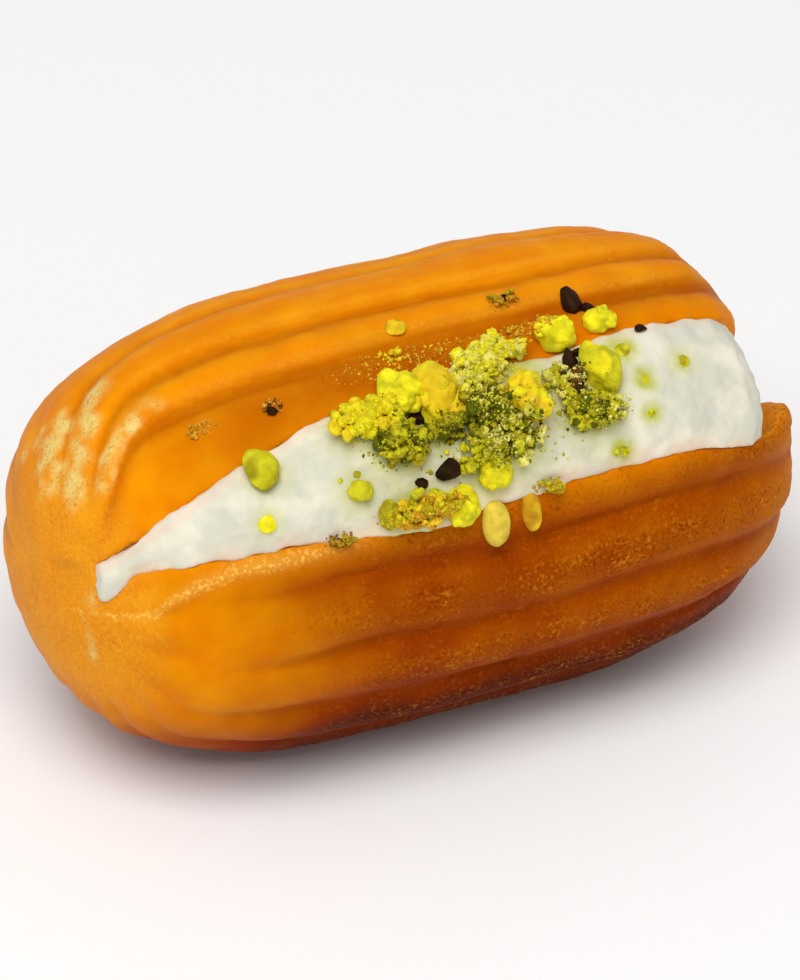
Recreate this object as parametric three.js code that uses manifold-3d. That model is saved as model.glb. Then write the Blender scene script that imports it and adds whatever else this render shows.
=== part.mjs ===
// A filled tulumba: a short ridged stick of fried dough soaked in syrup, slit along
// its front and filled with whipped cream, with chopped pistachio scattered over the
// slit. Millimetres, +Z up. The stick lies along X, the slit looks forwards (-Y) and
// up, and the part rests on a small flat spot pressed into its lowest ridge.
//
// A place on the stick is given as its distance along X from the middle, and its angle
// round the long axis: 0 is the front, 90 the top, 180 the back, -90 the underside.

import * as THREE from 'three';
import { mergeVertices } from 'three/addons/utils/BufferGeometryUtils.js';
import Module from 'manifold-3d';

const wasm = await Module();
wasm.setup();

// The stick of dough
const HALF_LENGTH = 36.8;
const CREST_RADIUS = 20.6; // from the long axis to the crests of the ridges
const SIDE_STRAIGHTNESS = 3.75; // higher keeps the sides straight for longer
const END_ROUNDNESS = 2.15; // higher makes the two ends blunter
const END_RISE = 0.6; // how far the ends curl up
const FLAT_DEPTH = 1.0; // how far the lowest ridge is pressed flat
const UPPER_JAW_END = 32.6; // the upper jaw is blunter and shorter at the right end
const UPPER_JAW_BEND = 26; // where its end starts to be drawn back
const JAW_BLEND = 3.5; // how high above the slit's middle plane it is drawn back fully

// Its ridges, from the star-shaped nozzle. The widths run from the lower lip of the
// slit, under the stick and up its back, to the upper lip.
const GROOVE_DEPTH = 1.25;
const GROOVE_REACH = 10; // degrees from a groove to a full crest
const GROOVE_FADE = 0.7; // higher makes the grooves shallower towards the ends
const FIRST_GROOVE = 16;
const RIDGE_WIDTHS = [20, 20, 19, 18.5, 18.5, 20, 20, 20.5, 20.5, 21, 23, 23, 23, 21.5, 14.5];

// The grooves close on a pole at each end: at the left one it sits towards the slit, at
// the right one away from it. They start to turn at a share of the half length.
const POLES = {
  left: { shift: 15, towards: 10, from: 0.7 },
  right: { shift: 17, towards: -140, from: 0.3 },
};

// Where the grooves are smoothed over, low on the front at the left end
const SMOOTH_PATCH = { along: -27, around: 0, length: 11, width: 36, strength: 0.85 };

// The slit, a wedge from the hinge behind the axis to two lips. The upper lip gapes
// quickly from the left end, and the lower one droops at both ends.
const SLIT_START = -34.2;
const HINGE_BEHIND_AXIS = 3.6;
const HINGE_HALF_GAP = 0.5;
const LEAST_WEDGE = 0.45; // share of its full height that the wedge keeps at the ends
const UPPER_LIP = { closed: 27, gape: 37, from: -36, within: 12 };
const UPPER_LIP_WAVE = { height: 1.3, every: 20.1, from: -0.5 };
const LOWER_LIP = { angle: 27.3, droop: 4.5, droopFrom: 18, droopTo: 30 };
const LOWER_LIP_CORNER = { drop: 8, from: -35, to: -31 };
const BISECTOR = 43; // degrees, the middle plane of the slit

// The cream, which stands a little proud in the middle of the slit
const CREAM_START = -33.6;
const CREAM_END = 28.7;
const CREAM_INNER_END = 0.04; // where it starts, as a share of the way out from the hinge
const CREAM_BULGE = { height: 1.0, from: -32, to: -20 };
const CREAM_SET_BACK = 0.25; // below the lips
const CREAM_RIPPLE = { height: 0.35, every: 12, slant: 3.8 };
const CREAM_END_ROUNDING = { depth: 1.6, along: 2, lowest: 0.4, power: 4 };
const SIDE_GAP = 0.345; // between cream and dough, across the slit

// The chopped pistachio
const SEED = 4157;
const CRUMB_COUNT = 84;
const CRUMB_SIZES = [1.4, 2.9];
const HEAP = { along: 2.5, around: 51, length: 8, height: 0.9 };
const CRUMB_SPREAD = { along: 6.5, around: 9.5 };
const PIECE_SINK = 0.18; // share of its size that a piece's centre stays above the surface
const PIECE_FLATNESS = [0.7, 0.95];
const PIECE_UNEVENNESS = [0.85, 1.15];
const LIP_MARGIN = { share: 0.62, gap: 0.45 }; // from a piece's middle to a lip
const PIECE_ROOM = 1.25; // how much room a piece needs round it, as a share of its size

// The larger pieces, each as distance along, angle round and size
const LARGE_PIECES = [
  [-18.8, 49, 3.2],
  [-20.1, 36, 1.9],
  [-11.5, 38, 2.4],
  [-4.7, 58, 4.3],
  [-1.3, 56, 4.4],
  [-8.6, 54, 2.7],
  [-3.3, 37, 2.3],
  [-9.2, 33, 2.1],
  [-2.3, 31, 3.0],
  [0.9, 21, 3.6],
  [4.4, 21, 3.0],
  [1.5, 36, 3.5],
  [6.1, 48, 4.0],
  [11.6, 69, 3.6],
  [15.8, 69, 2.5],
  [14.5, 77, 2.5],
  [13.3, 52, 3.8],
  [21.4, 50, 2.0],
  [-2.3, 80, 2.0],
  [7.8, 80, 2.1],
];

// How finely the faces are cut
const COLUMNS_PER_RIDGE = 5;
const SLIT_COLUMNS = 12;
const RINGS = 31;
const SLIT_STEPS = { along: 40, deep: 3, across: 4 };
const CREAM_STEPS = { along: 30, deep: 2, across: 8 };
const CUTTER_REACH = 1.4; // the slit's cutter goes this share of the way from hinge to lip
const CUTTER_OVERRUN = 2; // and this far past the right end

const AXIS_HEIGHT = CREST_RADIUS - FLAT_DEPTH;
const GROOVES = RIDGE_WIDTHS.reduce((angles, width) => [...angles, angles.at(-1) - width], [FIRST_GROOVE]);

const { clamp, degToRad, lerp, radToDeg, smoothstep } = THREE.MathUtils;

// A seeded draw from 0 to 1, the same on every run
function seededRandom(seed) {
  let state = seed;
  return () => {
    state = (state * 16807) % 2147483647;
    return state / 2147483647;
  };
}

// A wave of height 1 that repeats every so many millimetres
function wave(x, every) {
  return Math.sin((2 * Math.PI * x) / every);
}

// The turn from one angle to another by the shorter way, in degrees
function turnBetween(from, to) {
  return ((to - from + 540) % 360) - 180;
}

// Radius of the smooth stick at a share of its half length
function profile(share) {
  const reach = Math.min(Math.abs(share), 1);
  return (1 - reach ** SIDE_STRAIGHTNESS) ** (1 / END_ROUNDNESS);
}

function polarDirection(angle) {
  const turn = degToRad(angle);
  return new THREE.Vector3(0, -Math.cos(turn), Math.sin(turn));
}

function polar(x, angle, radius) {
  const rise = END_RISE * (x / HALF_LENGTH) ** 2;
  return polarDirection(angle).multiplyScalar(radius).add(new THREE.Vector3(x, 0, rise));
}

// The angles of the slit's two lips
function upperLip(x) {
  const opened = 1 - Math.exp((UPPER_LIP.from - x) / UPPER_LIP.within);
  const unevenness = UPPER_LIP_WAVE.height * wave(x - UPPER_LIP_WAVE.from, UPPER_LIP_WAVE.every);
  return UPPER_LIP.closed + UPPER_LIP.gape * opened + unevenness;
}

function lowerLip(x) {
  const droop = LOWER_LIP.droop * smoothstep(x, LOWER_LIP.droopFrom, LOWER_LIP.droopTo);
  const inCorner = 1 - smoothstep(x, LOWER_LIP_CORNER.from, LOWER_LIP_CORNER.to);
  return LOWER_LIP.angle - droop - LOWER_LIP_CORNER.drop * inCorner;
}

// How far the surface lies below the crests, at an angle before the drift
function relief(angle, share) {
  const distances = GROOVES.map((groove) => Math.abs(turnBetween(groove, angle)));
  const flank = 1 - Math.min(Math.min(...distances) / GROOVE_REACH, 1);
  const fromPatch = [
    (HALF_LENGTH * share - SMOOTH_PATCH.along) / SMOOTH_PATCH.length,
    turnBetween(SMOOTH_PATCH.around, angle) / SMOOTH_PATCH.width,
  ];
  const smoothed = SMOOTH_PATCH.strength * Math.exp(-(Math.hypot(...fromPatch) ** 2));
  return GROOVE_DEPTH * flank ** 2 * profile(share) ** GROOVE_FADE * (1 - smoothed);
}

// One angle for each column of the surface, with a column along every groove
function columnAngles() {
  const angles = [];
  const ridges = RIDGE_WIDTHS.map((width) => [width, COLUMNS_PER_RIDGE]);
  const slitWidth = 360 - RIDGE_WIDTHS.reduce((sum, width) => sum + width, 0);
  let start = FIRST_GROOVE;
  for (const [width, columns] of [...ridges, [slitWidth, SLIT_COLUMNS]]) {
    for (let step = 0; step < columns; step += 1) {
      angles.push(start - (width * step) / columns);
    }
    start -= width;
  }
  return angles;
}

// Where a place on the smooth stick goes when the pole of its nearer end is shifted
function turnedToPole(share, angle) {
  const { shift, towards, from } = share < 0 ? POLES.left : POLES.right;
  const direction = polarDirection(angle).multiplyScalar(Math.sqrt(1 - share ** 2)).setX(share);
  const end = new THREE.Vector3(Math.sign(share), 0, 0);
  const turn = degToRad(shift) * smoothstep(Math.abs(share), from, 1);
  direction.applyAxisAngle(end.cross(polarDirection(towards)).normalize(), turn);
  return [direction.x, radToDeg(Math.atan2(direction.z, -direction.y))];
}

// Moves a point of the smooth stick to its place on the real, uneven one
function unevenPlace(point) {
  const above = point.dot(polarDirection(BISECTOR + 90));
  if (point.x > UPPER_JAW_BEND) {
    const room = UPPER_JAW_END - UPPER_JAW_BEND;
    const drawnBack = UPPER_JAW_BEND + room * Math.tanh((point.x - UPPER_JAW_BEND) / room);
    point.x = lerp(point.x, drawnBack, smoothstep(above, 0, JAW_BLEND));
  }
  return point;
}

function doughSurface(x, angle) {
  const [share, turned] = turnedToPole(x / HALF_LENGTH, angle);
  const radius = CREST_RADIUS * profile(share) - relief(angle, x / HALF_LENGTH);
  return unevenPlace(polar(HALF_LENGTH * share, turned, Math.max(radius, 0)));
}

// A point of the slit's wedge: deep is 0 at the hinge and 1 at the stick's surface,
// side is -1 on the lower face and 1 on the upper one
function wedgePoint(x, deep, side, halfGap, bulge = 0) {
  const low = lowerLip(x);
  const high = upperLip(x);
  const middle = degToRad((low + high) / 2);
  const size = Math.max(profile(x / HALF_LENGTH), LEAST_WEDGE);
  const hinge = polar(x, (low + high) / 2, -HINGE_BEHIND_AXIS * size);
  const angle = lerp(low, high, (side + 1) / 2);
  const lip = polar(x, angle, CREST_RADIUS * size + bulge);
  const across = new THREE.Vector3(0, Math.sin(middle), Math.cos(middle));
  return hinge.lerp(lip, deep).addScaledVector(across, side * halfGap);
}

function toSolid(geometry) {
  geometry.deleteAttribute('normal');
  geometry.deleteAttribute('uv');
  const merged = mergeVertices(geometry, 1e-4);
  const triangles = [];
  for (let i = 0; i < merged.index.count; i += 3) {
    const corners = [0, 1, 2].map((corner) => merged.index.getX(i + corner));
    if (new Set(corners).size === 3) {
      triangles.push(...corners);
    }
  }
  return new wasm.Manifold(new wasm.Mesh({
    numProp: 3,
    vertProperties: new Float32Array(merged.attributes.position.array),
    triVerts: new Uint32Array(triangles),
  }));
}

// The outer shell alone: loose scraps are dropped and sealed hollows filled
function toGeometry(solid) {
  const mesh = solid.getMesh();
  const parent = Array.from({ length: mesh.numVert }, (_, i) => i);
  const find = (i) => {
    let root = i;
    while (parent[root] !== root) {
      root = parent[root];
    }
    parent[i] = root;
    return root;
  };
  const triangles = [];
  for (let i = 0; i < mesh.triVerts.length; i += 3) {
    const corners = mesh.triVerts.slice(i, i + 3);
    triangles.push(corners);
    parent[find(corners[1])] = find(corners[0]);
    parent[find(corners[2])] = find(corners[0]);
  }
  const counts = new Map();
  for (const [corner] of triangles) {
    counts.set(find(corner), (counts.get(find(corner)) ?? 0) + 1);
  }
  const largest = [...counts.keys()].reduce((a, b) => (counts.get(b) > counts.get(a) ? b : a));
  const kept = triangles.filter(([corner]) => find(corner) === largest);
  const geometry = new THREE.BufferGeometry();
  geometry.setAttribute('position', new THREE.BufferAttribute(new Float32Array(mesh.vertProperties), 3));
  geometry.setIndex(kept.flatMap((corners) => [...corners]));
  geometry.computeVertexNormals();
  return geometry;
}

// Moves every vertex of a three.js geometry by a function of its place
function reshape(geometry, place) {
  const { position, uv } = geometry.attributes;
  for (let i = 0; i < position.count; i += 1) {
    const from = new THREE.Vector3().fromBufferAttribute(position, i);
    const to = place(from, uv.getX(i), uv.getY(i));
    position.setXYZ(i, to.x, to.y, to.z);
  }
  return geometry;
}

function ridgedStick() {
  const angles = columnAngles();
  const ball = new THREE.SphereGeometry(1, angles.length, RINGS);
  return toSolid(reshape(ball, (from, round) => {
    const column = Math.round(round * angles.length) % angles.length;
    return doughSurface(HALF_LENGTH * from.y, angles[column]);
  }));
}

// A box bent into a wedge of the slit between two places along the stick
function wedge(start, end, steps, place) {
  const box = new THREE.BoxGeometry(1, 1, 1, steps.along, steps.deep, steps.across);
  return toSolid(reshape(box, (from) => {
    const x = lerp(start, end, from.x + 0.5);
    return place(x, from.y + 0.5, -from.z * 2);
  }));
}

function slitCutter() {
  return wedge(SLIT_START, HALF_LENGTH + CUTTER_OVERRUN, SLIT_STEPS, (x, deep, side) =>
    wedgePoint(x, deep * CUTTER_REACH, side, HINGE_HALF_GAP));
}

function tableCutter() {
  const slab = new THREE.BoxGeometry(4 * HALF_LENGTH, 4 * CREST_RADIUS, CREST_RADIUS);
  slab.translate(0, 0, -AXIS_HEIGHT - CREST_RADIUS / 2);
  return toSolid(slab);
}

// How far the cream stands out between the lips: side is -1 at the lower one, 1 at the upper
function creamBulge(x, side) {
  const crown = 1 - side ** 2;
  const filled = CREAM_BULGE.height * smoothstep(x, CREAM_BULGE.from, CREAM_BULGE.to);
  const ripple = CREAM_RIPPLE.height * wave(x + CREAM_RIPPLE.slant * side, CREAM_RIPPLE.every);
  const heap = HEAP.height * Math.exp(-(((x - HEAP.along) / HEAP.length) ** 2));
  return (filled + ripple + heap) * crown - CREAM_SET_BACK;
}

function creamPoint(x, deep, side) {
  const { depth, along, lowest, power } = CREAM_END_ROUNDING;
  const nearEnd = smoothstep(x, CREAM_END - along, CREAM_END);
  const rounding = depth * nearEnd * deep ** power * lerp(lowest, 1, Math.max(side, 0));
  const outwards = lerp(CREAM_INNER_END, 1, deep);
  return wedgePoint(x, outwards, side, HINGE_HALF_GAP - SIDE_GAP, creamBulge(x, side) - rounding);
}

function creamFilling() {
  return wedge(CREAM_START, CREAM_END, CREAM_STEPS, creamPoint);
}

// An irregular chip of nut, about size across
function chip(size, random) {
  const lump = new THREE.IcosahedronGeometry(size / 2, 0);
  const flatness = lerp(...PIECE_FLATNESS, random());
  const corners = new Map();
  reshape(lump, (from) => {
    const corner = from.toArray().map((value) => value.toFixed(3)).join();
    if (!corners.has(corner)) {
      corners.set(corner, lerp(...PIECE_UNEVENNESS, random()));
    }
    return from.multiplyScalar(corners.get(corner)).multiply(new THREE.Vector3(1, 1, flatness));
  });
  lump.rotateX(random() * Math.PI);
  lump.rotateZ(random() * Math.PI);
  return lump;
}

// Where a piece comes to rest: on the cream or on the dough, never across a lip
function restingPlace([x, angle, size]) {
  const margin = radToDeg((size * LIP_MARGIN.share + LIP_MARGIN.gap) / CREST_RADIUS);
  const low = lowerLip(x);
  const high = upperLip(x);
  const onCream = angle > low && angle < high;
  let settled = clamp(angle, low + margin, high - margin);
  if (!onCream) {
    settled = angle > high ? Math.max(angle, high + margin) : Math.min(angle, low - margin);
  }
  const side = ((settled - low) / (high - low)) * 2 - 1;
  const surface = onCream ? creamPoint(x, 1, side) : doughSurface(x, settled);
  const outwards = polar(0, settled, 1);
  return { onCream, place: surface.addScaledVector(outwards, size * PIECE_SINK) };
}

function scatteredPieces(random) {
  const bell = () => random() + random() + random() - 1.5;
  const crumbs = Array.from({ length: CRUMB_COUNT }, () => [
    HEAP.along + CRUMB_SPREAD.along * 2 * bell(),
    HEAP.around + CRUMB_SPREAD.around * 2 * bell(),
    lerp(...CRUMB_SIZES, random() ** 2),
  ]);
  return [...LARGE_PIECES, ...crumbs];
}

// Joins each piece to what it lies on, unless it would touch the other solid
function withPistachio(dough, cream) {
  const random = seededRandom(SEED);
  let [ridged, filled] = [dough, cream];
  for (const piece of scatteredPieces(random)) {
    const { onCream, place } = restingPlace(piece);
    const shape = chip(piece[2], random);
    const room = shape.clone().scale(PIECE_ROOM, PIECE_ROOM, PIECE_ROOM);
    const other = onCream ? dough : cream;
    if (other.intersect(toSolid(room.translate(...place.toArray()))).isEmpty()) {
      const joined = toSolid(shape.translate(...place.toArray()));
      [ridged, filled] = onCream ? [ridged, filled.add(joined)] : [ridged.add(joined), filled];
    }
  }
  return { ridged, filled };
}

function namedMesh(name, solid, look) {
  const mesh = new THREE.Mesh(toGeometry(solid), new THREE.MeshStandardMaterial(look));
  mesh.name = name;
  mesh.position.z = AXIS_HEIGHT;
  return mesh;
}

const dough = ridgedStick().subtract(slitCutter()).subtract(tableCutter());
const { ridged, filled } = withPistachio(dough, creamFilling());

const tulumba = new THREE.Group();
tulumba.add(namedMesh('pastry', ridged, { color: 0xd9820f, roughness: 0.35, metalness: 0 }));
tulumba.add(namedMesh('cream', filled, { color: 0xf5f4ef, roughness: 0.6, metalness: 0 }));

export default tulumba;
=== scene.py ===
"""A filled tulumba: a short ridged stick of fried dough soaked in syrup, slit along its
front, filled with whipped cream and scattered with chopped pistachio.

Shapes are worked out in millimetres about the long axis of the stick, and put in their
place, in metres, when a piece is finished. A place on the stick is its distance along X
from the middle and its angle round the axis: 0 is the front, 90 the top, -90 the bottom.
"""

import math

import bmesh
import bpy
import numpy as np
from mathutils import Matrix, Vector, noise
from mathutils.bvhtree import BVHTree


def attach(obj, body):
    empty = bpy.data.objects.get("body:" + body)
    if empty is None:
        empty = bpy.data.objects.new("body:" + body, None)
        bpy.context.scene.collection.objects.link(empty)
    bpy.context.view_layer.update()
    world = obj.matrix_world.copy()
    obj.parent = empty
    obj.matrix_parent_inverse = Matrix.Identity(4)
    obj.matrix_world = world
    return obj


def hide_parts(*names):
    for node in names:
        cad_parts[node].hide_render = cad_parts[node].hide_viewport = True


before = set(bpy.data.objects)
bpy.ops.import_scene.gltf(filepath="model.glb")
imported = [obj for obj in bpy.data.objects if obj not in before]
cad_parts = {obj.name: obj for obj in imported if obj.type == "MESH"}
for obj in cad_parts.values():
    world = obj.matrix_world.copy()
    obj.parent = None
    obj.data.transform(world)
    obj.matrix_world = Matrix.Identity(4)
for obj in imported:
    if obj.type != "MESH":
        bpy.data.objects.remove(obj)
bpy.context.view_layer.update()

MM = 0.001

# The stick of dough, as in the solid that it replaces
HALF_LENGTH = 36.8
CREST_RADIUS = 20.6
SIDE_STRAIGHTNESS = 3.75  # the higher it is, the straighter the sides and the blunter the ends
END_ROUNDNESS = 2.15
END_RISE = 0.6  # how far the axis is bent up at both ends
FLAT_DEPTH = 1.0  # how much of the lowest ridge is pressed flat
AXIS_HEIGHT = CREST_RADIUS - FLAT_DEPTH
UPPER_JAW_END = 32.6
UPPER_JAW_BEND = 26  # where the upper jaw begins to be drawn back
JAW_STEP = 1.0  # how far above the slit's middle plane the end of the lower jaw reaches
JAW_BLEND = 2.0  # and over how much more height it passes into the end of the upper one
# The top of the left end is drawn in by so much, more and more over these distances along
# the stick and these heights, which are not the same for lowering it and for shortening it
LEFT_DRAWN_IN = {"by": 0.45, "along": (-14, -34), "lowered": (2, 14), "shortened": (-12, 8)}

# Its ridges
GROOVE_DEPTH = 1.25
GROOVE_REACH = 10  # how many degrees a groove reaches to either side
GROOVE_FADE = 0.7  # how a groove's depth goes down with the radius at the ends, as a power
FIRST_GROOVE = 16
RIDGE_WIDTHS = [20, 20, 19, 18.5, 18.5, 20, 20, 20.5, 20.5, 21, 23, 23, 23, 21.5, 14.5]
GROOVES = FIRST_GROOVE - np.cumsum([0, *RIDGE_WIDTHS])
# The ridges run together off the middle of each end: how many degrees off, towards which angle
# round the axis, and from which share of the half length on they turn there
POLES = {-1: {"shift": 15, "towards": 10, "start": 0.7}, 1: {"shift": 17, "towards": -140, "start": 0.3}}
# On the left they are nearly smooth in front and half as deep further down
SMOOTH_PATCH = {"along": -27, "around": 0, "length": 11, "width": 36, "strength": 0.85}
SHALLOW_PATCH = {"strength": 0.55, "along": (0.5, 0.85), "down": (0.1, -0.4)}
CREASE_DEPTH = 0.35  # the sharp line at the bottom of a groove
CREASE_WIDTH = 1.7
SMOOTH_CAP = (0.92, 0.965)  # shares of the half length where the grooves fade at the left end
GROOVE_WANDER = 1.5  # how far a groove strays to either side, in degrees
UNEVEN_DEPTH = 0.3  # and how much its depth varies, as a share
TOP_WORN = {"middle": 112, "reach": 36, "share": 0.72}  # the grooves on top are shallower

# Where a highlight is painted at the left end in pale streaks, which also get a glossy coat:
# lines of places along and angles, how wide and how strong
HIGHLIGHT_STREAKS = [
    ([(-31.7, 100), (-33.0, 100), (-33.7, 97), (-34.3, 88)], 2.1, 1.0),
    ([(-28.2, 100), (-29.8, 93), (-31.4, 84.5), (-32.8, 76.5), (-33.4, 68)], 1.7, 1.0),
    ([(-25.8, 78), (-27.3, 77), (-29.4, 72.5), (-31.3, 64.5)], 1.6, 0.85),
    ([(-31.5, 85), (-33.0, 81)], 1.8, 0.9),
    ([(-32.9, 112), (-34.2, 121)], 1.0, 0.8),
    ([(-34.1, 19), (-34.5, 8), (-34.3, -6), (-34.1, -14)], 1.0, 0.5),
]

# Heights above the axis, as shares of the crests' radius, from which down the crust counts as
# low and as the underside
LOW_HEIGHTS = (0.65, 0.28)
UNDER_HEIGHTS = (-0.2, -0.7)

# How dark the crust is made, partly its fried colour and mostly painted shade: where it is low,
# with the steps of painted shade by which that changes along the stick and the distances over
# which each is made, and painted shade underneath
FRIED_AND_SHADED_LOW = 0.16
LOW_SHADE_STEPS = [(0.72, (-28, -8)), (-0.1, (0, 20)), (-0.6, (22, 34))]
UNDERSIDE_SHADE_STEP = (0.75, (-41, -26))
# Patches of painted shade above the slit: distance along, angle, how far they reach each way,
# and how strong they are
SHADE_PATCHES = [(-2, 65, 16, 8, 0.75), (-20, 54, 8, 16, 0.3)]
# Painted shade in a band along the groove at 73 degrees, growing along the stick
SHADE_BAND = {"around": 73, "width": 5, "step": (0.3, (2, 12))}

# Where fine grains lie on the crust: a little everywhere low down, more on crests and at the ends
SANDY_GROOVES = 0.35
SANDY_CRESTS = 0.65
SANDY_FROM = (-24, -6)
SANDY_RIGHT_STEP = (0.5, (24, 32))
SANDY_LEFT_STEP = (0.25, (-31, -35))
SANDY_PATCH = {"along": -5, "length": 9, "around": 68, "width": 4.5, "strength": 0.6}

# Painted highlights: lighter lines on the upper flanks of the ridges on top, painted light at
# the far left, and the lower lip's rim, which is pale grains with a painted highlight
RIDGE_HIGHLIGHT = {"past_groove": 4.2, "width": 1.5, "strength": 0.6, "heights": (0.75, 0.9)}
LEFT_END_LIGHT_STEP = (0.9, (-31, -36))
RIM = {"angle": 25.8, "width": 1.9, "over": (-8, -20)}
RIM_STEPS = [(-4.5, (-22, -30)), (-5.5, (-31.5, -34.5))]

# The unevenness that frying gives: how wide its lumps are and how high, and their seeds
FRIED_LUMPS = [(9, 0.16, 1), (3.2, 0.07, 2), (1.2, 0.035, 4)]

# The fold to the left of the slit: how high its edge is, how that rises towards the front, and
# over which distances the fold begins
FOLD = {"height": 3.6, "slope": 0.36, "across": (-2.5, -6.5), "along": (-33.4, -34.6)}

# The angles of the slit's lips. The upper one climbs in a bend, the lower one by steps, and
# both wave
LIP_WAVE = 1.4
UPPER_LIP = {"low": 26.3, "climb": 35.1, "start": -36, "bend": 12.6, "wave_from": 17.6, "wave_length": 34.4}
LOWER_LIP = {"low": 19.8, "wave_from": -34.3, "wave_length": 38.1}
LOWER_LIP_STEPS = [(8.2, (-33.0, -30.2)), (-3.4, (17, 28)), (9, (29.5, 34.5))]

# The slit
SLIT_START = -33.0
ROUND_TIPS = 30.5  # from there on the ends of both jaws are well rounded
ROUND_END = {"upper": 28.0, "lower": 33.5}  # and from there on the whole end of each is
SHALLOW_START = {"length": 2.0, "share": 0.85}  # the slit begins shallow at its left end
SLIT_REACH = 1.4  # how far out it is cut, where 1 is the surface of the stick
CUT_BEYOND = 0.3  # a place further than this from the surface of the whole stick is a cut one
HINGE_BEHIND_AXIS = 3.6  # its two faces meet there, but for the gap
HINGE_HALF_GAP = 0.5
LEAST_WEDGE = 0.45  # it gets smaller with the stick towards the ends, down to this share
BISECTOR = 43  # the angle of its middle plane

# The cream
CREAM_START = -33.15
CREAM_END = 28.7
CREAM_INNER_END = 0.04  # where it ends inside, as a share of the way from the hinge to the surface
CREAM_OVERLAP = 0.3  # how far it has pressed into the dough on both sides
CREAM_LEAST = 0.1  # how far it stands out of the slit at the lips
CREAM_CROWN = {"height": 1.0, "over": (-32, -20)}  # and how much further in the middle
CREAM_RIPPLE = {"height": 0.35, "length": 12, "slant": 3.8}
CREAM_HOLLOW = {"depth": 1.5, "along": -30, "length": 2.4}  # its lower part sinks there
CREAM_PRESSED_UP = {"height": 0.5, "along": -30.5, "length": 2.5}  # and its upper edge rises
CREAM_ROUNDING = {"length": 2, "depth": 1.6}  # at its right end
CREAM_LUMPS = [(6, 0.3, 11), (1.3, 0.09, 13), (0.7, 0.05, 14)]  # how wide and how high, and seeds
CREAM_PILLOWS = {"width": 3.2, "height": 0.14}
HEAP = {"along": 2.5, "length": 8, "height": 0.9}
HEAP_LIMIT = 1.0  # how high crumbs lie on each other

# How finely the meshes are made, in millimetres or steps
DOUGH_VOXEL = 0.42
CREAM_VOXEL = 0.3
STICK_COLUMNS = 360
STICK_RINGS = 240
SLIT_STEPS = (120, 12, 24)
CREAM_STEPS = (150, 30, 50)

# How many times the meshes are smoothed, all over and where they are rounder
SMOOTHING = {"dough": 2, "lips": 5, "tips": 15, "ends": 40, "cream": 4}

rng = np.random.default_rng(4157)


# Numbers and places

def srgb(red, green, blue):
    """A colour given as it looks on a screen, from 0 to 255, as the linear one that a shader takes."""
    shares = np.array([red, green, blue]) / 255
    linear = np.where(shares <= 0.04045, shares / 12.92, ((shares + 0.055) / 1.055) ** 2.4)
    return (*linear.tolist(), 1.0)


def smoothstep(value, low, high):
    share = np.clip((value - low) / (high - low), 0, 1)
    return share * share * (3 - 2 * share)


def steps_along(x, *steps):
    """The sum of the steps that a value makes along the stick, each over its own distances."""
    return sum(by * smoothstep(x, *over) for by, over in steps)


def bump(value, middle, reach):
    """1 at the middle, falling softly to nothing a little past the reach."""
    return np.exp(-(((value - middle) / reach) ** 2))


def turn_between(start, end):
    return (end - start + 540) % 360 - 180


def lumps(points, size, seed=0):
    """Soft noise from -1 to 1 at each point, in lumps of about that size."""
    shifted = points / size + seed * 17.3
    return np.array([noise.noise(point) for point in shifted.tolist()]) * 1.6


def profile(share):
    return (1 - np.clip(np.abs(share), 0, 1) ** SIDE_STRAIGHTNESS) ** (1 / END_ROUNDNESS)


def polar_direction(angle):
    turn = np.radians(angle)
    return np.stack([0 * turn, -np.cos(turn), np.sin(turn)], axis=-1)


def near_line(points, corners, reach):
    """1 on the line through the corners, falling softly to nothing about two reaches away."""
    nearest = np.full(len(points), np.inf)
    for start, end in zip(corners[:-1], corners[1:]):
        way = end - start
        share = np.clip((points - start) @ way / max(way @ way, 1e-9), 0, 1)
        nearest = np.minimum(nearest, np.linalg.norm(points - start - share[:, None] * way, axis=1))
    return np.exp(-((nearest / reach) ** 2))


def polar(x, angle, radius):
    x, angle, radius = np.broadcast_arrays(x, angle, radius)
    rise = END_RISE * (x / HALF_LENGTH) ** 2
    return polar_direction(angle) * radius[..., None] + np.stack([x, 0 * x, rise], axis=-1)


def lip_wave(x, lip):
    return LIP_WAVE * np.sin(math.tau * (x - lip["wave_from"]) / lip["wave_length"])


def upper_lip(x):
    """The angle of the slit's upper lip."""
    climbed = 1 - np.exp((UPPER_LIP["start"] - x) / UPPER_LIP["bend"])
    return UPPER_LIP["low"] + UPPER_LIP["climb"] * climbed + lip_wave(x, UPPER_LIP)


def lower_lip(x):
    """The angle of the slit's lower lip."""
    return LOWER_LIP["low"] + steps_along(x, *LOWER_LIP_STEPS) + lip_wave(x, LOWER_LIP)


def off_rim(x, around):
    """How many degrees a place lies above the middle of the lower lip's rim."""
    return around - RIM["angle"] - steps_along(x, *RIM_STEPS)


# The stick of dough

def slow_change(angle, share, seed):
    """Noise from -1 to 1 that changes slowly along the stick and round it."""
    round_about = 2.2 * polar_direction(angle)
    place = np.stack([HALF_LENGTH * share / 15, round_about[:, 1], round_about[:, 2]], axis=-1)
    return lumps(place, 1.0, seed)


def from_groove(angle, share):
    """How many degrees a place lies past the nearest groove."""
    wandered = angle + GROOVE_WANDER * slow_change(angle, share, 21)
    turns = turn_between(GROOVES[:, None], wandered[None, :])
    return np.take_along_axis(turns, np.abs(turns).argmin(axis=0)[None, :], axis=0)[0]


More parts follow.
